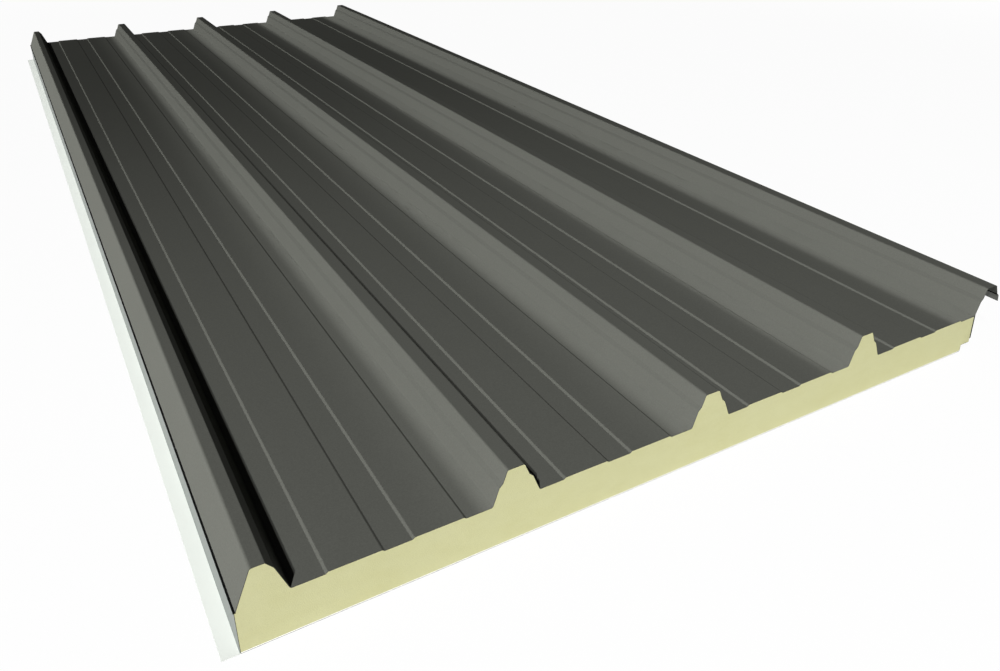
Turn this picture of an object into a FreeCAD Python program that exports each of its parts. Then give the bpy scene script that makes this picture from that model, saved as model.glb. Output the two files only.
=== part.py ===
"""Insulated roof sandwich panel with five trapezoidal ribs.

A ribbed steel outer sheet and a flat steel liner are bonded to a foam core.
The first rib is filled and lies under the next panel. The last rib is an
empty overlap rib that covers the first rib of the next panel.

Every piece is one section in the X-Z plane, run along Y for the panel's
length. X runs across the panel, from the underlap side to the overlap side.
The sections are drawn from the centre line of the first rib and then moved,
so that the origin is the middle of the panel's outline, at the underside.
"""

import FreeCAD, Part

import math
import os

# Panel
LENGTH = 2650.0
COVER_WIDTH = 1000.0  # first rib to last rib, centre to centre
PAN_THICKNESS = 50.0  # underside of the liner to the top of the outer sheet's pan
RIB_COUNT = 5

# Sheets
OUTER_GAUGE = 0.5
LINER_GAUGE = 0.4
FOLD_RADIUS = 2.5  # inside radius of the rib folds
CREASE_RADIUS = 1.0  # inside radius of the small folds

# Middle and overlap ribs of the outer sheet
RIB_HEIGHT = 38.0
RIB_BASE = 54.0
RIB_CROWN = 19.5
JOG_HEIGHT = 20.0  # pan to the foot of the jog in each flank
JOG_RISE = 4.0
JOG_DEPTH = 4.2

# Free leg of the overlap rib
LEG_CLEARANCE = 11.0  # pan to the leg's lower edge
LEG_EASE = 0.8  # how much further out it stands than a middle rib's flank
LEG_SPREAD = 1.0  # jog's foot out to the leg's lower edge

# Underlap rib of the outer sheet
NEST_CLEARANCE = 0.3  # to the inside of the overlap rib that covers it
NEST_CROWN_LEFT = 7.0  # rib centre line to the crown's two edges
NEST_CROWN_RIGHT = 6.2
NEST_CHAMFER_DROP = 8.4
NEST_FOOT_RIGHT = 24.2
NEST_FOOT_LEFT = 23.6
NEST_FOOT_DROP = 2.8  # pan down to the left flank's lower edge

# Flat swages pressed up in each pan
SWAGE_COUNT = 2
SWAGE_WIDTH = 51.2
SWAGE_RISE = 1.8
SWAGE_RUN = 2.5

# Side laps
SIDE_OFFSET = 25.0  # rib centre line to the panel's side, at either edge
JOINT_GAP = 0.5  # between the sides of two panels laid together
TONGUE_WIDTH = 16.5  # liner tongue that stands out at the underlap side
TONGUE_NOSE = 0.39  # outside radius of the tongue's folded tip
TONGUE_CLEARANCE = 3.5  # tongue to the inner corner of the rebate that takes it
REBATE_HEIGHT = 10.0

# Seals
EDGE_SEAL_THICKNESS = 2.5
EDGE_SEAL_HEIGHT = 34.5
FOOT_SEAL_HEIGHT = 1.2
FOOT_SEAL_PROUD = 0.6

# Places that follow from the sizes above
PITCH = COVER_WIDTH / (RIB_COUNT - 1)
CROWN_Z = PAN_THICKNESS + RIB_HEIGHT
FLANK_SLOPE = ((RIB_BASE - RIB_CROWN) / 2 - JOG_DEPTH) / (RIB_HEIGHT - JOG_RISE)
JOG_FOOT = RIB_BASE / 2 - FLANK_SLOPE * JOG_HEIGHT  # rib centre line to the jog's foot
LEFT_SIDE = -SIDE_OFFSET
RIGHT_SIDE = COVER_WIDTH - SIDE_OFFSET - JOINT_GAP
CORE_RIGHT = RIGHT_SIDE - EDGE_SEAL_THICKNESS
TONGUE_TIP = LEFT_SIDE - TONGUE_WIDTH
REBATE_CORNER = COVER_WIDTH + TONGUE_TIP - TONGUE_CLEARANCE
TONGUE_THICKNESS = 2 * LINER_GAUGE
LINER_OUTSIDE = CREASE_RADIUS + LINER_GAUGE  # outside radius of the liner's folds
WALL_INNER = LEFT_SIDE + LINER_GAUGE
REBATE_INNER = REBATE_CORNER - LINER_GAUGE
REBATE_CEILING = REBATE_HEIGHT + LINER_GAUGE
NEST_FOOT_Z = PAN_THICKNESS - NEST_FOOT_DROP
FOOT_SEAL_BOTTOM = NEST_FOOT_Z - FOOT_SEAL_HEIGHT
LEG_END = COVER_WIDTH + JOG_FOOT + LEG_EASE + LEG_SPREAD
MIDDLE_X = (TONGUE_TIP + LEG_END) / 2


def unit(start, end):
    """Direction from one (x, z, radius) corner to the next."""
    dx = end[0] - start[0]
    dz = end[1] - start[1]
    size = math.hypot(dx, dz)
    return dx / size, dz / size


def turn_angle(before, corner, after):
    """Signed turn at a corner, positive to the left."""
    ax, az = unit(before, corner)
    bx, bz = unit(corner, after)
    return math.atan2(ax * bz - az * bx, ax * bx + az * bz)


def place(x, z):
    """Point of the near end's section, in the model's frame."""
    return FreeCAD.Vector(x - MIDDLE_X, -LENGTH / 2, z)


def fold(before, corner, after):
    """Start, middle and end of the arc that rounds a corner."""
    turn = turn_angle(before, corner, after)
    x, z, radius = corner
    reach = radius * math.tan(abs(turn) / 2)
    ax, az = unit(before, corner)
    bx, bz = unit(corner, after)
    sag = radius / math.cos(turn / 2) - radius
    cx = bx - ax
    cz = bz - az
    size = math.hypot(cx, cz)
    start = place(x - ax * reach, z - az * reach)
    middle = place(x + cx / size * sag, z + cz / size * sag)
    end = place(x + bx * reach, z + bz * reach)
    return start, middle, end


def outline_face(corners):
    """Face inside a closed run of (x, z, radius) corners, rounded where radius > 0."""
    edges = []
    ends = []
    count = len(corners)
    for index, corner in enumerate(corners):
        if corner[2] > 0:
            start, middle, end = fold(corners[index - 1], corner, corners[(index + 1) % count])
            edges.append(Part.Arc(start, middle, end).toShape())
            ends.append((start, end))
        else:
            point = place(corner[0], corner[1])
            ends.append((point, point))
    for index in range(count):
        edges.append(Part.makeLine(ends[index - 1][1], ends[index][0]))
    return Part.Face(Part.Wire(Part.__sortEdges__(edges)))


def underside(path, gauge):
    """Corners of the other face of a sheet whose upper face follows path, left to right."""
    first = unit(path[0], path[1])
    last = unit(path[-2], path[-1])
    corners = [(path[0][0] + gauge * first[1], path[0][1] - gauge * first[0], 0.0)]
    for before, corner, after in zip(path, path[1:], path[2:]):
        turn = turn_angle(before, corner, after)
        ax, az = unit(before, corner)
        bx, bz = unit(corner, after)
        miter = gauge / (1 + ax * bx + az * bz)
        x = corner[0] + miter * (az + bz)
        z = corner[1] - miter * (ax + bx)
        corners.append((x, z, corner[2] + math.copysign(gauge, turn)))
    corners.append((path[-1][0] + gauge * last[1], path[-1][1] - gauge * last[0], 0.0))
    return corners


def with_folds(points):
    """Upper-face corners of the outer sheet, from (x, z, inside radius) points.

    A fold's inside is below the sheet where the path turns right.
    """
    corners = [points[0]]
    for before, corner, after in zip(points, points[1:], points[2:]):
        outside = OUTER_GAUGE if turn_angle(before, corner, after) < 0 else 0.0
        corners.append((corner[0], corner[1], corner[2] + outside))
    corners.append(points[-1])
    return corners


def rib_flank():
    """One flank of a middle rib, foot to crown, as (distance from the centre line, z, radius)."""
    jog_z = PAN_THICKNESS + JOG_HEIGHT
    return [
        (RIB_BASE / 2, PAN_THICKNESS, FOLD_RADIUS),
        (JOG_FOOT, jog_z, CREASE_RADIUS),
        (JOG_FOOT - JOG_DEPTH, jog_z + JOG_RISE, CREASE_RADIUS),
        (RIB_CROWN / 2, CROWN_Z, FOLD_RADIUS),
    ]


def rising_flank(centre):
    """Left flank of a rib, in section coordinates."""
    return [(centre - x, z, radius) for x, z, radius in rib_flank()]


def falling_flank(centre):
    """Right flank of a rib, crown to foot, in section coordinates."""
    return [(centre + x, z, radius) for x, z, radius in reversed(rib_flank())]


def underlap_rib():
    """Foam-filled first rib. It nests under the overlap rib of the next panel."""
    crown_z = CROWN_Z - OUTER_GAUGE - NEST_CLEARANCE
    chamfer_z = crown_z - NEST_CHAMFER_DROP
    wall = (OUTER_GAUGE + NEST_CLEARANCE) * math.hypot(1, FLANK_SLOPE)
    flank = RIB_CROWN / 2 + LEG_EASE + FLANK_SLOPE * (CROWN_Z - chamfer_z)
    return [
        (-NEST_FOOT_LEFT, NEST_FOOT_Z, 0.0),
        (-NEST_CROWN_LEFT, crown_z, FOLD_RADIUS),
        (NEST_CROWN_RIGHT, crown_z, CREASE_RADIUS),
        (flank - wall, chamfer_z, CREASE_RADIUS),
        (NEST_FOOT_RIGHT, PAN_THICKNESS, FOLD_RADIUS),
    ]


def overlap_rib():
    """Empty last rib, whose free leg stops above the pan of the next panel."""
    leg = [(x + LEG_EASE, z, radius) for x, z, radius in falling_flank(COVER_WIDTH)[:-1]]
    return rising_flank(COVER_WIDTH) + leg + [(LEG_END, PAN_THICKNESS + LEG_CLEARANCE, 0.0)]


def pan_swages(rib_centre):
    """Raised flats of the pan to the right of a rib, evenly spaced to the next rib."""
    corners = []
    top = PAN_THICKNESS + SWAGE_RISE
    for number in range(1, SWAGE_COUNT + 1):
        centre = rib_centre + PITCH * number / (SWAGE_COUNT + 1)
        inner = SWAGE_WIDTH / 2
        outer = inner + SWAGE_RUN
        corners.append((centre - outer, PAN_THICKNESS, CREASE_RADIUS))
        corners.append((centre - inner, top, CREASE_RADIUS))
        corners.append((centre + inner, top, CREASE_RADIUS))
        corners.append((centre + outer, PAN_THICKNESS, CREASE_RADIUS))
    return corners


def outer_path():
    """Upper face of the outer sheet, from the underlap side to the free leg."""
    points = underlap_rib() + pan_swages(0.0)
    for number in range(1, RIB_COUNT - 1):
        centre = number * PITCH
        points += rising_flank(centre) + falling_flank(centre) + pan_swages(centre)
    return with_folds(points + overlap_rib())


def outer_face(path):
    """Section of the outer sheet, of even thickness."""
    return outline_face(path + underside(path, OUTER_GAUGE)[::-1])


def space_below(path):
    """Everything under the outer sheet, down to the underside of the panel."""
    corners = underside(path, OUTER_GAUGE)
    start = corners[0]
    end = corners[-1]
    left = [(TONGUE_TIP, 0.0, 0.0), (TONGUE_TIP, start[1], 0.0)]
    right = [(end[0], 0.0, 0.0)]
    return outline_face(left + corners + right)


def liner_face():
    """Section of the liner: side wall, tongue folded flat on itself, floor and rebate."""
    return outline_face([
        (LEFT_SIDE, FOOT_SEAL_BOTTOM, 0.0),
        (LEFT_SIDE, TONGUE_THICKNESS, CREASE_RADIUS),
        (TONGUE_TIP, TONGUE_THICKNESS, TONGUE_NOSE),
        (TONGUE_TIP, 0.0, TONGUE_NOSE),
        (REBATE_CORNER, 0.0, LINER_OUTSIDE),
        (REBATE_CORNER, REBATE_HEIGHT, CREASE_RADIUS),
        (CORE_RIGHT, REBATE_HEIGHT, 0.0),
        (CORE_RIGHT, REBATE_CEILING, 0.0),
        (REBATE_INNER, REBATE_CEILING, LINER_OUTSIDE),
        (REBATE_INNER, LINER_GAUGE, CREASE_RADIUS),
        (WALL_INNER, LINER_GAUGE, 0.0),
        (WALL_INNER, FOOT_SEAL_BOTTOM, 0.0),
    ])


def core_outline():
    """Foam section with a plain top, which the outer sheet then cuts to shape."""
    return outline_face([
        (WALL_INNER, LINER_GAUGE, 0.0),
        (WALL_INNER, CROWN_Z, 0.0),
        (CORE_RIGHT, CROWN_Z, 0.0),
        (CORE_RIGHT, REBATE_CEILING, 0.0),
        (REBATE_INNER, REBATE_CEILING, LINER_OUTSIDE),
        (REBATE_INNER, LINER_GAUGE, CREASE_RADIUS),
    ])


def rectangle(left, right, bottom, top):
    """Plain rectangular section."""
    return outline_face([
        (left, bottom, 0.0),
        (left, top, 0.0),
        (right, top, 0.0),
        (right, bottom, 0.0),
    ])


def foot_seal_face(path):
    """Bead between the side wall's top and the outer sheet's lower edge."""
    sheet_x, sheet_z, _ = underside(path, OUTER_GAUGE)[0]
    return rectangle(LEFT_SIDE - FOOT_SEAL_PROUD, sheet_x, FOOT_SEAL_BOTTOM, sheet_z)


def edge_seal_face(path):
    """Strip on the overlap side of the foam, cut to the underside of the sheet."""
    bottom = PAN_THICKNESS - EDGE_SEAL_HEIGHT
    strip = rectangle(CORE_RIGHT, RIGHT_SIDE, bottom, CROWN_Z)
    return strip.common(space_below(path))


def run_along(section):
    """One solid with this section over the panel's length."""
    along = FreeCAD.Vector(0, LENGTH, 0)
    return section.Faces[0].extrude(along)


def build():
    """Every piece of the panel, by node name."""
    path = outer_path()
    foot_seal = foot_seal_face(path)
    core = core_outline().common(space_below(path)).cut(foot_seal)
    return {
        "outer_sheet": run_along(outer_face(path)),
        "foam_core": run_along(core),
        "liner_sheet": run_along(liner_face()),
        "edge_seal": run_along(edge_seal_face(path)),
        "foot_seal": run_along(foot_seal),
    }


def main():
    """Write each piece to its own file."""
    os.makedirs("parts", exist_ok=True)
    for name, shape in build().items():
        shape.exportStep(f"parts/{name}.step")
        print(name, shape.isValid(), len(shape.Solids), round(shape.Volume), shape.BoundBox)


main()
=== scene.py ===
"""Looks of the insulated sandwich panel: its finishes, the lamps, the floor and the camera."""

import logging
import math
from dataclasses import dataclass, field
from enum import Enum
from typing import Any, Union

import bmesh
import bpy
from mathutils import Euler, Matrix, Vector

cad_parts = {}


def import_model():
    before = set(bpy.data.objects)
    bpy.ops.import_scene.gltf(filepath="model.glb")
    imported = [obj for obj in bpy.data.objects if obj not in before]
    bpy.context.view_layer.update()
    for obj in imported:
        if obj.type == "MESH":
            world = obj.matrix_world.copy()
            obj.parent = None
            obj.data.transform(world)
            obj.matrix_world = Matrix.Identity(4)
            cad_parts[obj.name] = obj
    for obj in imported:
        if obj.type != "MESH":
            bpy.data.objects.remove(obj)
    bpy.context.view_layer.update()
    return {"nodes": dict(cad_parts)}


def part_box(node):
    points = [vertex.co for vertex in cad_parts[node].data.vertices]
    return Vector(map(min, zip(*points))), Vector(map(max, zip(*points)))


LOG = logging.getLogger("sandwich_panel")
MM = 0.001
RAYS_TO_THE_EYE = ("Camera", "Glossy", "Transmission")
SQUARE_ON = 0.7  # how far a face has to turn to an axis to count as facing it
NOISE_MIDDLE = 0.5
NOISE_ROUGHNESS = 0.55
WHITE = (1.0, 1.0, 1.0)

Colour = tuple[float, float, float]
Triple = tuple[float, float, float]
Value = Union["Sock", float]


def paint(red: int, green: int, blue: int) -> Colour:
    """Turn a colour card's numbers, 0 to 255, into the linear colour that shaders take.

    Args:
        red: The card's red.
        green: The card's green.
        blue: The card's blue.

    Returns:
        The linear colour.
    """

    def channel(card: int) -> float:
        """Linear share of one channel."""
        share = card / 255
        return share / 12.92 if share <= 0.04045 else ((share + 0.055) / 1.055) ** 2.4

    return channel(red), channel(green), channel(blue)


class Coat(Enum):
    """Which side of a coated steel sheet a face belongs to."""

    BACK = "back"
    CUT = "cut"


class Axis(Enum):
    """A direction of the panel: across it, along it and up."""

    ACROSS = "X"
    ALONG = "Y"
    UP = "Z"


class Reach(Enum):
    """What a lamp lights when it is tied to one piece."""

    ONLY = "INCLUDE"
    ALL_BUT = "EXCLUDE"


class Sock:
    """An output socket of a shader tree, so that shader sums read as plain expressions."""

    def __init__(self, surface: "Shading", socket: bpy.types.NodeSocket) -> None:
        """Keep the tree and the socket."""
        self.surface = surface
        self.socket = socket

    def _math(self, operation: str, first: Value, second: Value = 0.0) -> "Sock":
        """Add one Math node.

        Args:
            operation: The Math node's operation.
            first: Its first value.
            second: Its second value.

        Returns:
            The node's result.
        """
        return self.surface.add(
            "ShaderNodeMath", {"operation": operation}, {0: first, 1: second}, "Value"
        )

    def __add__(self, other: Value) -> "Sock":
        """Sum."""
        return self._math("ADD", self, other)

    def __radd__(self, other: Value) -> "Sock":
        """Sum with a number first."""
        return self._math("ADD", other, self)

    def __sub__(self, other: Value) -> "Sock":
        """Difference."""
        return self._math("SUBTRACT", self, other)

    def __rsub__(self, other: Value) -> "Sock":
        """Difference with a number first."""
        return self._math("SUBTRACT", other, self)

    def __mul__(self, other: Value) -> "Sock":
        """Product."""
        return self._math("MULTIPLY", self, other)

    def __rmul__(self, other: Value) -> "Sock":
        """Product with a number first."""
        return self._math("MULTIPLY", other, self)

    def __neg__(self) -> "Sock":
        """The value with its sign turned."""
        return self._math("MULTIPLY", self, -1.0)

    def __abs__(self) -> "Sock":
        """Size without sign."""
        return self._math("ABSOLUTE", self)

    def over(self, limit: float) -> "Sock":
        """1 where the value is above the limit, otherwise 0."""
        return self._math("GREATER_THAN", self, limit)

    def under(self, limit: float) -> "Sock":
        """1 where the value is below the limit, otherwise 0."""
        return self._math("LESS_THAN", self, limit)

    def within(self, low: float, high: float) -> "Sock":
        """1 between the two limits, otherwise 0."""
        return self.over(low) * self.under(high)

    def repeat(self, pitch: float) -> "Sock":
        """The value's distance past the last whole number of pitches."""
        return self._math("FLOORED_MODULO", self, pitch)

    def ramp(self, low: float, high: float) -> "Sock":
        """A soft step from 0 at one value to 1 at the other.

        Args:
            low: Where the step starts.
            high: Where it ends.

        Returns:
            The step.
        """
        return self.surface.add(
            "ShaderNodeMapRange",
            {"interpolation_type": "SMOOTHSTEP", "clamp": True},
            {"Value": self, "From Min": low, "From Max": high},
            "Result",
        )

    def unit(self) -> "Sock":
        """A vector brought to length 1."""
        return self.surface.add("ShaderNodeVectorMath", {"operation": "NORMALIZE"}, {0: self}, 0)

    def axis(self, axis: Axis) -> "Sock":
        """One part of a vector."""
        return self.surface.add("ShaderNodeSeparateXYZ", {}, {"Vector": self}, axis.value)


class Shading:
    """A tree of shader nodes under construction, all made by one method."""

    def __init__(self, owner: Union[bpy.types.Material, bpy.types.World], output: str) -> None:
        """Start with an empty tree and its output.

        Args:
            owner: The material or world that the tree belongs to.
            output: The type of its output node.
        """
        owner.use_nodes = True
        self.tree = owner.node_tree
        self.tree.nodes.clear()
        self.output = self.tree.nodes.new(output)

    def add(
        self, kind: str, settings: dict[str, Any], inputs: dict[Any, Any], result: Any
    ) -> Sock:
        """Add one node.

        Args:
            kind: The node's type.
            settings: Its settings, which are set before its sockets.
            inputs: Values, colours or sockets by the name or number of the input.
            result: The name or number of the wanted output.

        Returns:
            The wanted output.
        """
        node = self.tree.nodes.new(kind)
        for name, value in settings.items():
            setattr(node, name, value)
        for name, value in inputs.items():
            self._feed(node.inputs[name], value)
        return Sock(self, node.outputs[result])

    def _feed(self, entry: bpy.types.NodeSocket, value: Any) -> None:
        """Link a socket to an input, or set a number or colour on it."""
        if isinstance(value, Sock):
            self.tree.links.new(value.socket, entry)
        elif entry.type == "RGBA":
            entry.default_value = (*value, 1.0)
        else:
            entry.default_value = value

    def close(self, shader: Sock) -> None:
        """Send the finished shader to the output."""
        self.tree.links.new(shader.socket, self.output.inputs["Surface"])

    def eye(self) -> Sock:
        """1 for rays from the eye and for what it sees in gloss or through glass, otherwise 0."""
        camera, glossy, transmission = (
            self.add("ShaderNodeLightPath", {}, {}, f"Is {kind} Ray") for kind in RAYS_TO_THE_EYE
        )
        return camera + glossy + transmission


class Surface(Shading):
    """A material under construction: one shader and the nodes that feed it."""

    def __init__(self, name: str) -> None:
        """Start a bare material of that name."""
        self.material = bpy.data.materials.new(name)
        self.material.cycles.use_bump_map_correction = False
        super().__init__(self.material, "ShaderNodeOutputMaterial")

    def place(self) -> Sock:
        """Where a point is in the panel's own frame, in metres."""
        return self.add("ShaderNodeTexCoord", {}, {}, "Object")

    def facing(self) -> Sock:
        """Which way a face points in the panel's own frame."""
        return self.add("ShaderNodeTexCoord", {}, {}, "Normal")

    def stretched(self, scale: Triple) -> Sock:
        """The place, scaled by a different number each way.

        Args:
            scale: The three factors.

        Returns:
            The scaled place.
        """
        return self.add(
            "ShaderNodeVectorMath", {"operation": "MULTIPLY"}, {0: self.place(), 1: scale}, 0
        )

    def noise(
        self, size: float, detail: float = 2.0, where: Union[Sock, None] = None
    ) -> Sock:
        """Soft blotches of about that size, from 0 to 1.

        Args:
            size: A blotch's width in metres.
            detail: How many finer layers are laid over it.
            where: The place to read, if not the panel's own.

        Returns:
            The blotches.
        """
        return self.add(
            "ShaderNodeTexNoise",
            {"noise_dimensions": "3D"},
            {
                "Vector": where or self.place(),
                "Scale": 1 / size,
                "Detail": detail,
                "Roughness": NOISE_ROUGHNESS,
            },
            0,
        )

    def cells(self, size: float) -> Sock:
        """Distance from the middle of closed cells of about that size.

        Args:
            size: A cell's width in metres.

        Returns:
            The distance, in cell widths.
        """
        return self.add(
            "ShaderNodeTexVoronoi",
            {"feature": "F1"},
            {"Vector": self.place(), "Scale": 1 / size},
            "Distance",
        )

    def blend(
        self, share: Sock, first: Union[Sock, Colour], second: Union[Sock, Colour]
    ) -> Sock:
        """Mix two colours.

        Args:
            share: How much of the second colour shows.
            first: The colour at 0.
            second: The colour at 1.

        Returns:
            The mixed colour.
        """
        return self.add(
            "ShaderNodeMix", {"data_type": "RGBA"}, {"Factor": share, 6: first, 7: second}, 2
        )

    def vector(self, across: Value, along: Value, up: Value) -> Sock:
        """A vector from its three parts."""
        return self.add("ShaderNodeCombineXYZ", {}, {0: across, 1: along, 2: up}, 0)

    def mix_vector(self, share: Sock, first: Sock, second: Sock) -> Sock:
        """Mix two vectors.

        Args:
            share: How much of the second vector counts.
            first: The vector at 0.
            second: The vector at 1.

        Returns:
            The mixed vector.
        """
        return self.add(
            "ShaderNodeMix", {"data_type": "VECTOR"}, {"Factor": share, 4: first, 5: second}, 1
        )

    def shade(self, colour: Sock, level: Sock) -> Sock:
        """Make a colour lighter or darker by a level round 1.

        Args:
            colour: The colour.
            level: The factor on it.

        Returns:
            The changed colour.
        """
        return self.add(
            "ShaderNodeVectorMath", {"operation": "SCALE"}, {0: colour, "Scale": level}, 0
        )

    def bump(self, height: Sock, normal: Union[Sock, None] = None) -> Sock:
        """A normal tilted as if the surface rose by the height.

        Args:
            height: The rise in metres.
            normal: The facing to start from, if not the mesh's own.

        Returns:
            The tilted normal.
        """
        inputs = {"Height": height, "Distance": 1.0, "Strength": 1.0}
        if normal:
            inputs["Normal"] = normal
        return self.add("ShaderNodeBump", {}, inputs, "Normal")

    def finish(self, **inputs: Any) -> bpy.types.Material:
        """Close the material with a Principled shader.

        Args:
            **inputs: The shader's inputs, with an underscore for each space.

        Returns:
            The finished material.
        """
        named = {name.replace("_", " "): value for name, value in inputs.items()}
        self.close(self.add("ShaderNodeBsdfPrincipled", {}, named, "BSDF"))
        return self.material


@dataclass(frozen=True)
class SheetFold:
    """The soft roll that forming leaves in a pan before it turns up into the next rib.

    It is narrow before the second rib and wider before each rib after that. A gentler sweep
    leads into it. Both only turn the shading; the sheet itself is flat there. The swages' risers
    that lean to the right keep their own facing, so that their edge lines stay.
    """

    tongue_to_rib: float = 41.5 * MM
    pitch: float = 250 * MM
    foot: float = 27 * MM
    pan_top: float = 53 * MM
    first_middle: float = 3.5 * MM
    widening: float = 11.4 * MM
    roll_half: float = 18 * MM
    roll_slope: float = 1.35
    sweep: tuple[float, float] = (-74 * MM, -26 * MM)
    sweep_slope: float = 0.085
    riser_lean: float = 0.2

    def normal(self, surface: Surface) -> Sock:
        """Facing of the sheet, with each pan turned up towards the foot of the next rib.

        Args:
            surface: The material that asks for it.

        Returns:
            The facing.
        """
        first_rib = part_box("liner_sheet")[0].x + self.tongue_to_rib
        across = surface.place().axis(Axis.ACROSS) - first_rib
        past_rib = across.repeat(self.pitch)
        to_foot = (self.pitch - self.foot) - past_rib
        middle = (across - past_rib) * (self.widening / self.pitch) + self.first_middle
        roll = (middle - to_foot).ramp(-self.roll_half, self.roll_half) * self.roll_slope
        slope = roll + (-to_foot).ramp(*self.sweep) * self.sweep_slope
        turned = surface.vector(-slope, 0.0, 1.0).unit()
        below_ribs = surface.place().axis(Axis.UP).under(self.pan_top)
        facing_up = surface.facing().axis(Axis.UP).over(SQUARE_ON)
        no_riser = surface.facing().axis(Axis.ACROSS).under(self.riser_lean)
        rolled = (-to_foot).over(self.sweep[0]) * (below_ribs * facing_up * no_riser)
        return surface.mix_vector(rolled, surface.facing(), turned)


@dataclass(frozen=True)
class CoatedSteel:
    """Roll-formed steel with a face coat, a back coat and bare cut edges.

    The optional parts are a roll in the pans; a painted highlight that makes the back coat lighter
    below the jog and a painted shade band at the jog, where light and shade fall inside the
    overlap rib; a painted shade on the side face above the tongue, a grey that stands in for its
    shading; and a hem at the left edge whose end stays coated.
    """

    name: str
    face: Colour
    back: Colour
    cut: Colour
    face_roughness: float
    back_roughness: float
    grain: float
    grain_height: float
    speckle: float
    shine: float
    fold: Union[SheetFold, None] = None
    # painted highlight: lighter back coat below the jog, where light falls on the free leg's inside
    lip_painted_highlight: Union[Colour, None] = None
    jog: tuple[float, float] = (70.0 * MM, 73.6 * MM)
    # painted shade: how much darker the back coat is drawn in the band at the jog
    jog_shade: float = 0.8
    # painted shade: grey for the side face above the tongue, standing in for its shading
    wall_painted_shade: Union[Colour, None] = None
    wall_lean: float = -0.2
    tongue_top: float = 0.85 * MM
    hem: float = 0.0
    back_lean: float = -0.03
    cut_metal: float = 0.6
    blotch: float = 90 * MM
    blotch_share: float = 0.05
    streak: Triple = (30.0, 1.2, 30.0)
    streak_share: float = 0.04
    ripple: float = 7 * MM
    ripple_share: float = 0.5
    blotch_roughness: float = 0.08
    grain_roughness: float = 0.06

    def masks(self, surface: Surface) -> dict[Coat, Sock]:
        """Where the back coat and the cut edges are.

        Args:
            surface: The material that asks for them.

        Returns:
            A mask for each of the two.
        """
        facing = surface.facing()
        hem_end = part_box("liner_sheet")[0].x + self.hem
        past_hem = surface.place().axis(Axis.ACROSS).over(hem_end)
        return {
            Coat.CUT: abs(facing.axis(Axis.ALONG)).over(SQUARE_ON) * past_hem,
            Coat.BACK: facing.axis(Axis.UP).under(self.back_lean),
        }

    def back_coat_and_painted_light(self, surface: Surface) -> Union[Sock, Colour]:
        """Colour of the back coat, with its painted highlight below the jog and painted shade at
        the jog if it has them.

        Args:
            surface: The material that asks for it.

        Returns:
            The colour.
        """
        if not self.lip_painted_highlight:
            return self.back
        # painted light: lighter below the jog, darker in the jog band
        height = surface.place().axis(Axis.UP)
        back = surface.blend(height.under(self.jog[0]), self.back, self.lip_painted_highlight)
        return surface.shade(back, 1.0 - height.within(*self.jog) * self.jog_shade)

    def paint_wall_shade(self, surface: Surface, colour: Sock) -> Sock:
        """Paint shade on the side face above the tongue, as a grey that stands in for its shading,
        if one is given.

        Args:
            surface: The material that asks for it.
            colour: The coat's colour so far.

        Returns:
            The colour with the wall painted.
        """
        if not self.wall_painted_shade:
            return colour
        # painted shade: the side face above the tongue turns grey
        sideways = surface.facing().axis(Axis.ACROSS).under(self.wall_lean)
        above_tongue = surface.place().axis(Axis.UP).over(self.tongue_top)
        return surface.blend(sideways * above_tongue, colour, self.wall_painted_shade)

    def material(self) -> bpy.types.Material:
        """Build the coat's material.

        Returns:
            The material.
        """
        surface = Surface(self.name)
        masks = self.masks(surface)
        grains = surface.noise(self.grain, 1.0)
        blotches = surface.noise(self.blotch, 3.0)
        streaks = surface.noise(1.0, 2.0, surface.stretched(self.streak))
        level = (
            1.0
            + (grains - NOISE_MIDDLE) * self.speckle
            + (blotches - NOISE_MIDDLE) * self.blotch_share
            + (streaks - NOISE_MIDDLE) * self.streak_share
        )
        colour = surface.blend(masks[Coat.BACK], self.face, self.back_coat_and_painted_light(surface))
        colour = surface.shade(self.paint_wall_shade(surface, colour), level)
        colour = surface.blend(masks[Coat.CUT], colour, self.cut)
        roughness = (
            self.face_roughness
            + masks[Coat.BACK] * (self.back_roughness - self.face_roughness)
            + (blotches - NOISE_MIDDLE) * self.blotch_roughness
            + (grains - NOISE_MIDDLE) * self.grain_roughness
        )
        ripples = surface.noise(self.ripple, 1.0)
        height = grains * self.grain_height + ripples * (self.ripple_share * self.grain_height)
        rolled = self.fold.normal(surface) if self.fold else None
        return surface.finish(
            Base_Color=colour,
            Roughness=roughness,
            Metallic=masks[Coat.CUT] * self.cut_metal,
            Normal=surface.bump(height, rolled),
            Specular_IOR_Level=self.shine,
        )


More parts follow.
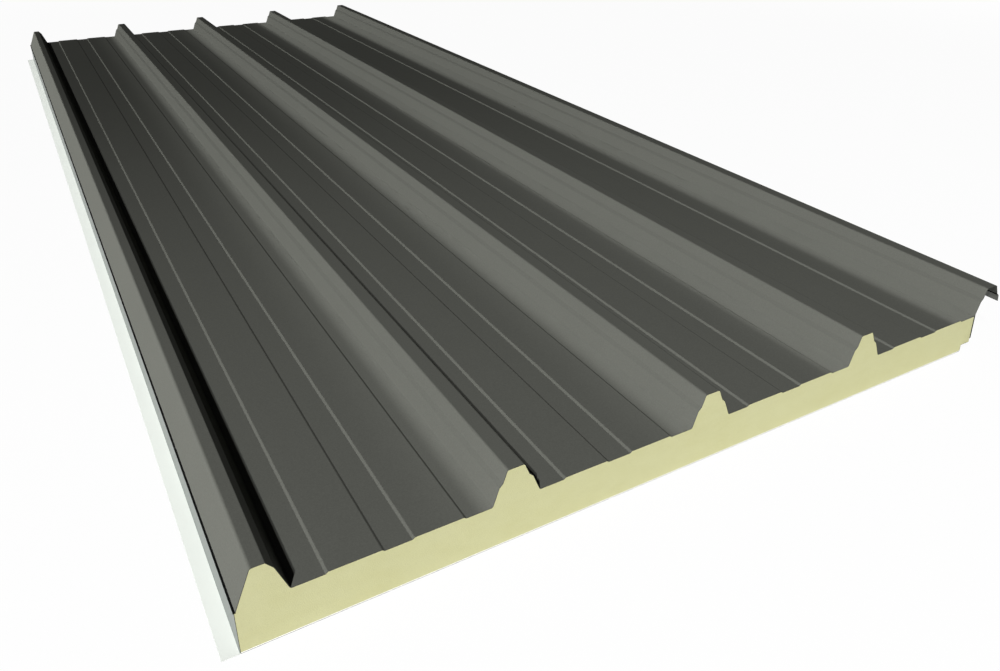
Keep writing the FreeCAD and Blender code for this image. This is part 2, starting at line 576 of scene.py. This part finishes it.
@dataclass(frozen=True)
class RigidFoam:
    """Pale rigid foam with fine cells and flow marks, and a white skin where it meets the liner."""

    name: str = "rigid_foam"
    body: Colour = paint(206, 205, 161)
    deep: Colour = paint(198, 196, 146)
    skin: Colour = paint(252, 252, 248)
    skin_height: float = 1.1 * MM
    cell: float = 0.9 * MM
    cell_depth: float = 0.10 * MM
    cell_middle: float = 0.45
    cell_share: float = 0.09
    flow: float = 26 * MM
    flow_stretch: Triple = (1.0, 1.0, 2.2)
    flow_depth: float = 0.4
    cloud: float = 70 * MM
    cloud_share: float = 0.5
    tone_range: tuple[float, float] = (0.30, 0.78)
    tone_share: float = 0.55
    roughness: float = 0.86
    flow_roughness: float = 0.10
    shine: float = 0.05

    def material(self) -> bpy.types.Material:
        """Build the foam's material.

        Returns:
            The material.
        """
        surface = Surface(self.name)
        cells = surface.cells(self.cell)
        flow = surface.noise(self.flow, 3.0, surface.stretched(self.flow_stretch))
        clouds = surface.noise(self.cloud, 2.0)
        marks = flow * (1.0 - self.cloud_share) + clouds * self.cloud_share
        tone = marks.ramp(*self.tone_range)
        level = 1.0 + (self.cell_middle - cells) * self.cell_share
        body = surface.blend(tone * self.tone_share, self.body, self.deep)
        colour = surface.shade(body, level)
        skin_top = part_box("foam_core")[0].z + self.skin_height
        in_skin = surface.place().axis(Axis.UP).under(skin_top)
        sawn = abs(surface.facing().axis(Axis.ALONG)).over(SQUARE_ON)
        colour = surface.blend(in_skin * sawn, colour, self.skin)
        relief = cells * -self.cell_depth + flow * (self.flow_depth * self.cell_depth)
        return surface.finish(
            Base_Color=colour,
            Roughness=self.roughness + (flow - NOISE_MIDDLE) * self.flow_roughness,
            Normal=surface.bump(relief),
            Specular_IOR_Level=self.shine,
        )


@dataclass(frozen=True)
class SealFoam:
    """Black sealing foam with small closed cells and a slightly worn skin."""

    name: str
    body: Colour = paint(7, 8, 7)
    worn: Colour = paint(18, 19, 18)
    cell: float = 0.8 * MM
    cell_depth: float = 0.12 * MM
    cell_share: float = 0.25
    highest_level: float = 1.1
    wear: float = 12 * MM
    wear_range: tuple[float, float] = (0.52, 0.80)
    wear_share: float = 0.5
    roughness: float = 0.78
    wear_roughness: float = 0.12
    shine: float = 0.05

    def material(self) -> bpy.types.Material:
        """Build the seal's material.

        Returns:
            The material.
        """
        surface = Surface(self.name)
        cells = surface.cells(self.cell)
        wear = surface.noise(self.wear, 4.0).ramp(*self.wear_range)
        body = surface.blend(wear * self.wear_share, self.body, self.worn)
        colour = surface.shade(body, self.highest_level - cells * self.cell_share)
        return surface.finish(
            Base_Color=colour,
            Roughness=self.roughness + wear * self.wear_roughness,
            Normal=surface.bump(cells * -self.cell_depth),
            Specular_IOR_Level=self.shine,
        )


DARK_COAT = CoatedSteel(
    name="dark_grey_coat",
    face=paint(84, 85, 80),
    # back coat colour, darkened as painted shade for the inside of the overlap rib
    back=paint(50, 51, 48),
    cut=paint(70, 70, 66),
    face_roughness=0.85,
    back_roughness=0.85,
    grain=1.6 * MM,
    grain_height=0.020 * MM,
    speckle=0.30,
    shine=0.0,
    fold=SheetFold(),
    # painted highlight: the back coat lighter below the free leg's jog
    lip_painted_highlight=paint(72, 73, 70),
)
WHITE_COAT = CoatedSteel(
    name="white_liner_coat",
    face=paint(240, 244, 238),
    back=paint(240, 244, 238),
    cut=paint(38, 40, 38),
    face_roughness=0.45,
    back_roughness=0.45,
    grain=1.4 * MM,
    grain_height=0.008 * MM,
    speckle=0.03,
    shine=0.10,
    # painted shade: the side face above the tongue is drawn grey to stand in for its shading
    wall_painted_shade=paint(152, 158, 154),
    hem=16.5 * MM,
)


@dataclass
class Piece:
    """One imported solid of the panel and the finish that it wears."""

    node: str
    finish: Union[CoatedSteel, RigidFoam, SealFoam]

    def dress(self, nodes: dict[str, bpy.types.Object]) -> None:
        """Put the finish on the solid.

        Args:
            nodes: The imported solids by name.
        """
        solid = nodes[self.node]
        solid.data.materials.clear()
        solid.data.materials.append(self.finish.material())
        LOG.info("%s wears %s", self.node, self.finish.name)


@dataclass
class Facings:
    """The two steel sheets: dark outside, white inside."""

    outer: Piece = field(default_factory=lambda: Piece("outer_sheet", DARK_COAT))
    liner: Piece = field(default_factory=lambda: Piece("liner_sheet", WHITE_COAT))

    def dress(self, nodes: dict[str, bpy.types.Object]) -> None:
        """Dress both sheets."""
        self.outer.dress(nodes)
        self.liner.dress(nodes)


@dataclass
class Filling:
    """The foam core and the two seals on its sides."""

    core: Piece = field(default_factory=lambda: Piece("foam_core", RigidFoam()))
    edge: Piece = field(default_factory=lambda: Piece("edge_seal", SealFoam("edge_seal_foam")))
    foot: Piece = field(default_factory=lambda: Piece("foot_seal", SealFoam("foot_seal_bead")))

    def dress(self, nodes: dict[str, bpy.types.Object]) -> None:
        """Dress the core and both seals."""
        for piece in (self.core, self.edge, self.foot):
            piece.dress(nodes)


@dataclass(frozen=True)
class Beam:
    """A far lamp, whose light is nearly parallel.

    Its level is 1 where a matt colour that faces it shows as it is written. The light fades
    softly from the middle of its pool outwards. With no radius it is the same everywhere.
    """

    name: str
    heading: Triple
    level: float
    middle: Triple = (0.0, 0.0, 0.05)
    radius: float = 0.0
    blur: float = 0.009
    distance: float = 40.0
    shadows: bool = True

    def hang(self) -> bpy.types.Object:
        """Hang the lamp.

        Returns:
            The lamp.
        """
        heading = Vector(self.heading).normalized()
        data = bpy.data.lights.new(self.name, "SPOT" if self.radius else "SUN")
        if self.radius:
            data.energy = self.level * (2 * math.pi * self.distance) ** 2
            data.spot_size = 2 * math.atan(self.radius / self.distance)
            data.spot_blend = 1.0
            data.shadow_soft_size = self.blur * self.distance
        else:
            data.energy = self.level * math.pi
            data.angle = self.blur
        data.use_shadow = self.shadows
        lamp = bpy.data.objects.new(self.name, data)
        bpy.context.scene.collection.objects.link(lamp)
        lamp.location = Vector(self.middle) - heading * self.distance
        lamp.rotation_euler = heading.to_track_quat("-Z", "Y").to_euler()
        LOG.info("%s hung", self.name)
        return lamp


DOWN_FROM_THE_LEFT = (0.49, 0.375, -0.767)
KEY_BEAM = Beam(
    name="key_lamp",
    heading=DOWN_FROM_THE_LEFT,
    level=1.95,
    middle=(-2.523, -5.0, 0.05),
    radius=4.789,
    blur=0.012,
)
EVEN_BEAM = Beam(name="even_lamp", heading=DOWN_FROM_THE_LEFT, level=0.395, blur=0.012)
LINER_BEAM = Beam(
    name="liner_lamp",
    heading=DOWN_FROM_THE_LEFT,
    level=1.09,
    middle=(-0.5, -1.5, 0.05),
    radius=5.0,
)
LEFT_BEAM = Beam(
    name="left_lamp",
    heading=(1.0, 0.0, -0.01),
    level=1.27,
    middle=(-0.5, 4.62, 0.05),
    radius=12.0,
    shadows=False,
)
SIDE_BEAM = Beam(
    name="side_lamp",
    heading=(1.0, 0.0, 0.0),
    level=0.70,
    middle=(-0.5, 2.5, 0.07),
    radius=4.526,
    blur=0.0005,
)
FRONT_BEAM = Beam(
    name="front_lamp",
    heading=(0.0, 1.0, -0.05),
    level=0.12,
    middle=(0.55, -1.3, 0.05),
    radius=1.1,
)


@dataclass
class Studio:
    """Pale floor, white surroundings and the lamps."""

    floor_size: float = 40.0
    floor_colour: Colour = (0.80, 0.80, 0.80)
    floor_glow: float = 0.955
    shadow_reach: tuple[float, float] = (2.0, 4.0)
    fill: float = 0.010

    def build(self, nodes: dict[str, bpy.types.Object]) -> None:
        """Make the floor, the surroundings and the lamps.

        Args:
            nodes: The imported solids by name, for the lamps that light only one of them.
        """
        self.floor()
        self.surroundings()
        for beam in (KEY_BEAM, EVEN_BEAM):
            self.reach(beam.hang(), nodes["liner_sheet"], Reach.ALL_BUT)
        for beam in (LEFT_BEAM, SIDE_BEAM):
            self.reach(beam.hang(), nodes["outer_sheet"], Reach.ONLY)
        self.reach(LINER_BEAM.hang(), nodes["liner_sheet"], Reach.ONLY)
        self.reach(FRONT_BEAM.hang(), nodes["foam_core"], Reach.ONLY)

    def floor(self) -> None:
        """Lay the floor under the panel."""
        form = bmesh.new()
        bmesh.ops.create_grid(form, x_segments=1, y_segments=1, size=self.floor_size / 2)
        mesh = bpy.data.meshes.new("floor")
        form.to_mesh(mesh)
        form.free()
        plane = bpy.data.objects.new("floor", mesh)
        bpy.context.scene.collection.objects.link(plane)
        mesh.materials.append(self.floor_material())
        LOG.info("floor laid")

    def floor_material(self) -> bpy.types.Material:
        """Pale floor that reads as white to the eye and still takes the panel's shadow.

        Returns:
            The material.
        """
        surface = Surface("pale_floor")
        matt = surface.add("ShaderNodeBsdfDiffuse", {}, {"Color": self.floor_colour}, "BSDF")
        glow = surface.add(
            "ShaderNodeEmission", {}, {"Color": WHITE, "Strength": 1.0}, "Emission"
        )
        away = surface.add(
            "ShaderNodeVectorMath", {"operation": "LENGTH"}, {0: surface.place()}, "Value"
        )
        far = away.ramp(*self.shadow_reach)
        share = surface.eye() * (self.floor_glow + far * (1.0 - self.floor_glow))
        surface.close(surface.add("ShaderNodeMixShader", {}, {0: share, 1: matt, 2: glow}, 0))
        return surface.material

    def surroundings(self) -> None:
        """White to the eye, a faint fill to everything else."""
        world = bpy.data.worlds.new("surroundings")
        bpy.context.scene.world = world
        sky = Shading(world, "ShaderNodeOutputWorld")
        strength = self.fill + sky.eye() * (1.0 - self.fill)
        shown = {"Color": WHITE, "Strength": strength}
        sky.close(sky.add("ShaderNodeBackground", {}, shown, "Background"))

    def reach(self, lamp: bpy.types.Object, piece: bpy.types.Object, reach: Reach) -> None:
        """Let a lamp light only one piece, or all but that piece.

        Args:
            lamp: The lamp.
            piece: The piece.
            reach: Which of the two.
        """
        group = bpy.data.collections.new(f"{lamp.name}_reach")
        group.objects.link(piece)
        group.collection_objects[0].light_linking.link_state = reach.value
        lamp.light_linking.receiver_collection = group


@dataclass
class Viewpoint:
    """The camera, looking down along the panel from its near left corner."""

    place: Triple = (-0.58231, -1.93755, 0.64528)
    turn: Triple = (66.4484, -0.2196, -31.0164)
    lens: float = 32.05
    film: float = 36.0
    shift: tuple[float, float] = (-0.0414, -0.1055)
    clip: tuple[float, float] = (0.01, 100.0)

    def build(self) -> None:
        """Set the camera up and make it the scene's own."""
        camera = bpy.data.cameras.new("camera")
        camera.lens = self.lens
        camera.sensor_width = self.film
        camera.shift_x, camera.shift_y = self.shift
        camera.clip_start, camera.clip_end = self.clip
        holder = bpy.data.objects.new("camera", camera)
        bpy.context.scene.collection.objects.link(holder)
        holder.location = self.place
        holder.rotation_euler = Euler([math.radians(angle) for angle in self.turn])
        bpy.context.scene.camera = holder
        LOG.info("camera set")


def main() -> None:
    """Dress the panel and set up the studio round it."""
    logging.basicConfig(level=logging.INFO, format="%(name)s: %(message)s")
    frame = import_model()
    bpy.context.scene.view_settings.view_transform = "Standard"
    for group in (Facings(), Filling()):
        group.dress(frame["nodes"])
    Studio().build(frame["nodes"])
    Viewpoint().build()
    bpy.context.view_layer.update()


if __name__ == "__main__":
    main()
